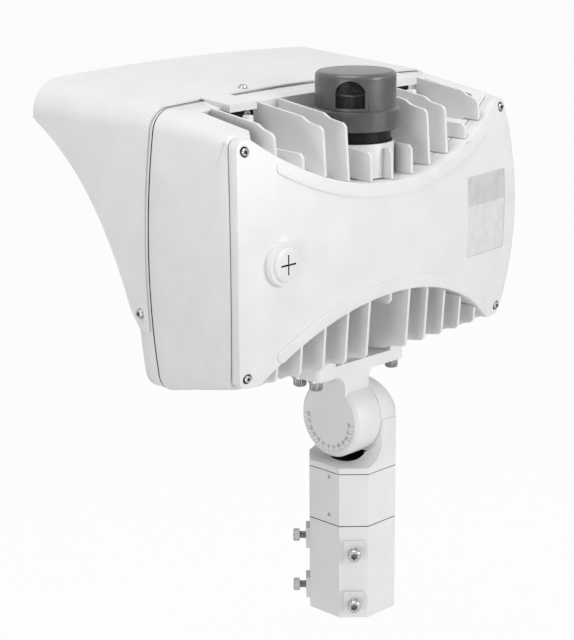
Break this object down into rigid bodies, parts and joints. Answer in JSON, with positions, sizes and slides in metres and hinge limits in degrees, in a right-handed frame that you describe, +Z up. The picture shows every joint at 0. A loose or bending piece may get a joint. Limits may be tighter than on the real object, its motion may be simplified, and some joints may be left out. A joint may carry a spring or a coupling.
{
  "type": "pole-top led flood light",
  "caption": "Finned LED flood light head with hourglass rear cover, glare visor and twist-lock photocell, tilting on a knuckle above an octagonal slip fitter for a pole tenon.",
  "frame": {"origin": "centre of the slip fitter's open mouth, on the axis of its bore", "axes": "+Z up the bore, -Y the way the light shines, +Y out of the rear cover"},
  "size_m": [0.4102, 0.2957, 0.5499],
  "materials": {
    "white_paint": "satin white powder coat on cast aluminium",
    "stainless": "plain stainless",
    "dark_steel": "black oxide",
    "black_rubber": "matte",
    "clear_glass": "clear tempered",
    "clear_plastic": "clear moulded",
    "board_white": "white solder mask",
    "phosphor": "phosphor yellow",
    "driver_case": "potted, pale case",
    "black_plastic": "matte black",
    "grey_plastic": "satin grey",
    "smoked_window": "dark clear",
    "blade_brass": "plain",
    "board_green": "solder mask",
    "circuit_black": "matte"
  },
  "bodies": {
    "fitter": {"slip_fitter": "white_paint", "extension_collar": "white_paint", "fitter_joint_bolts": "stainless", "knuckle_arm": "white_paint", "pivot_bolt": "stainless", "pivot_washer": "stainless"},
    "head": {"tilt_bracket": "white_paint", "bracket_bolts": "dark_steel", "bracket_washers": "stainless", "heat_sink_housing": "white_paint", "rear_cover": "white_paint", "rear_cover_gasket": "black_rubber", "rear_cover_screws": "stainless", "front_frame": "white_paint", "frame_screws": "stainless", "frame_gasket": "black_rubber", "glass_lens": "clear_glass", "lens_gasket": "black_rubber", "lens_clips": "stainless", "lens_clip_screws": "stainless", "visor": "white_paint", "visor_screws": "stainless", "led_board_left": "board_white", "led_board_right": "board_white", "optic_lens_left": "clear_plastic", "optic_lens_right": "clear_plastic", "led_packages": "phosphor", "optic_screws": "stainless", "led_driver": "driver_case", "driver_screws": "stainless", "surge_protector": "black_plastic", "terminal_block": "black_plastic", "photocell_receptacle": "black_plastic", "receptacle_gasket": "black_rubber"},
    "photocell": {"photocell_cap": "grey_plastic", "photocell_window": "smoked_window", "photocell_base": "grey_plastic", "photocell_blades": "blade_brass", "photocell_circuit_board": "board_green", "photocell_sensor": "circuit_black", "photocell_circuit_parts": "circuit_black"},
    "plug": {"closure_plug": "white_paint", "plug_seal": "black_rubber"},
    "set_screw_rear_low": {"set_screw_rear_low": "stainless"},
    "set_screw_rear_high": {"set_screw_rear_high": "stainless"},
    "set_screw_front_low": {"set_screw_front_low": "stainless"},
    "set_screw_front_high": {"set_screw_front_high": "stainless"}
  },
  "joints": [
    {"name": "head_tilt", "type": "hinge", "parent": "fitter", "child": "head", "pos_m": [0, 0, 0.2047], "axis": [1, 0, 0], "range_deg": [-90, 90]},
    {"name": "photocell_twist", "type": "hinge", "parent": "head", "child": "photocell", "pos_m": [0.0088, 0.0109, 0.4963], "axis": [0, 0, 1], "range_deg": [0, 30]},
    {"name": "plug_unscrew", "type": "slide", "parent": "head", "child": "plug", "axis": [0, 1, 0], "range_m": [0, 0.011]},
    {"name": "set_screw_rear_low_turn", "type": "slide", "parent": "fitter", "child": "set_screw_rear_low", "axis": [-0.7071, -0.7071, 0], "range_m": [-0.004, 0.006]},
    {"name": "set_screw_rear_high_turn", "type": "slide", "parent": "fitter", "child": "set_screw_rear_high", "axis": [-0.7071, -0.7071, 0], "range_m": [-0.004, 0.006]},
    {"name": "set_screw_front_low_turn", "type": "slide", "parent": "fitter", "child": "set_screw_front_low", "axis": [-0.7071, 0.7071, 0], "range_m": [-0.004, 0.006]},
    {"name": "set_screw_front_high_turn", "type": "slide", "parent": "fitter", "child": "set_screw_front_high", "axis": [-0.7071, 0.7071, 0], "range_m": [-0.004, 0.006]}
  ]
}
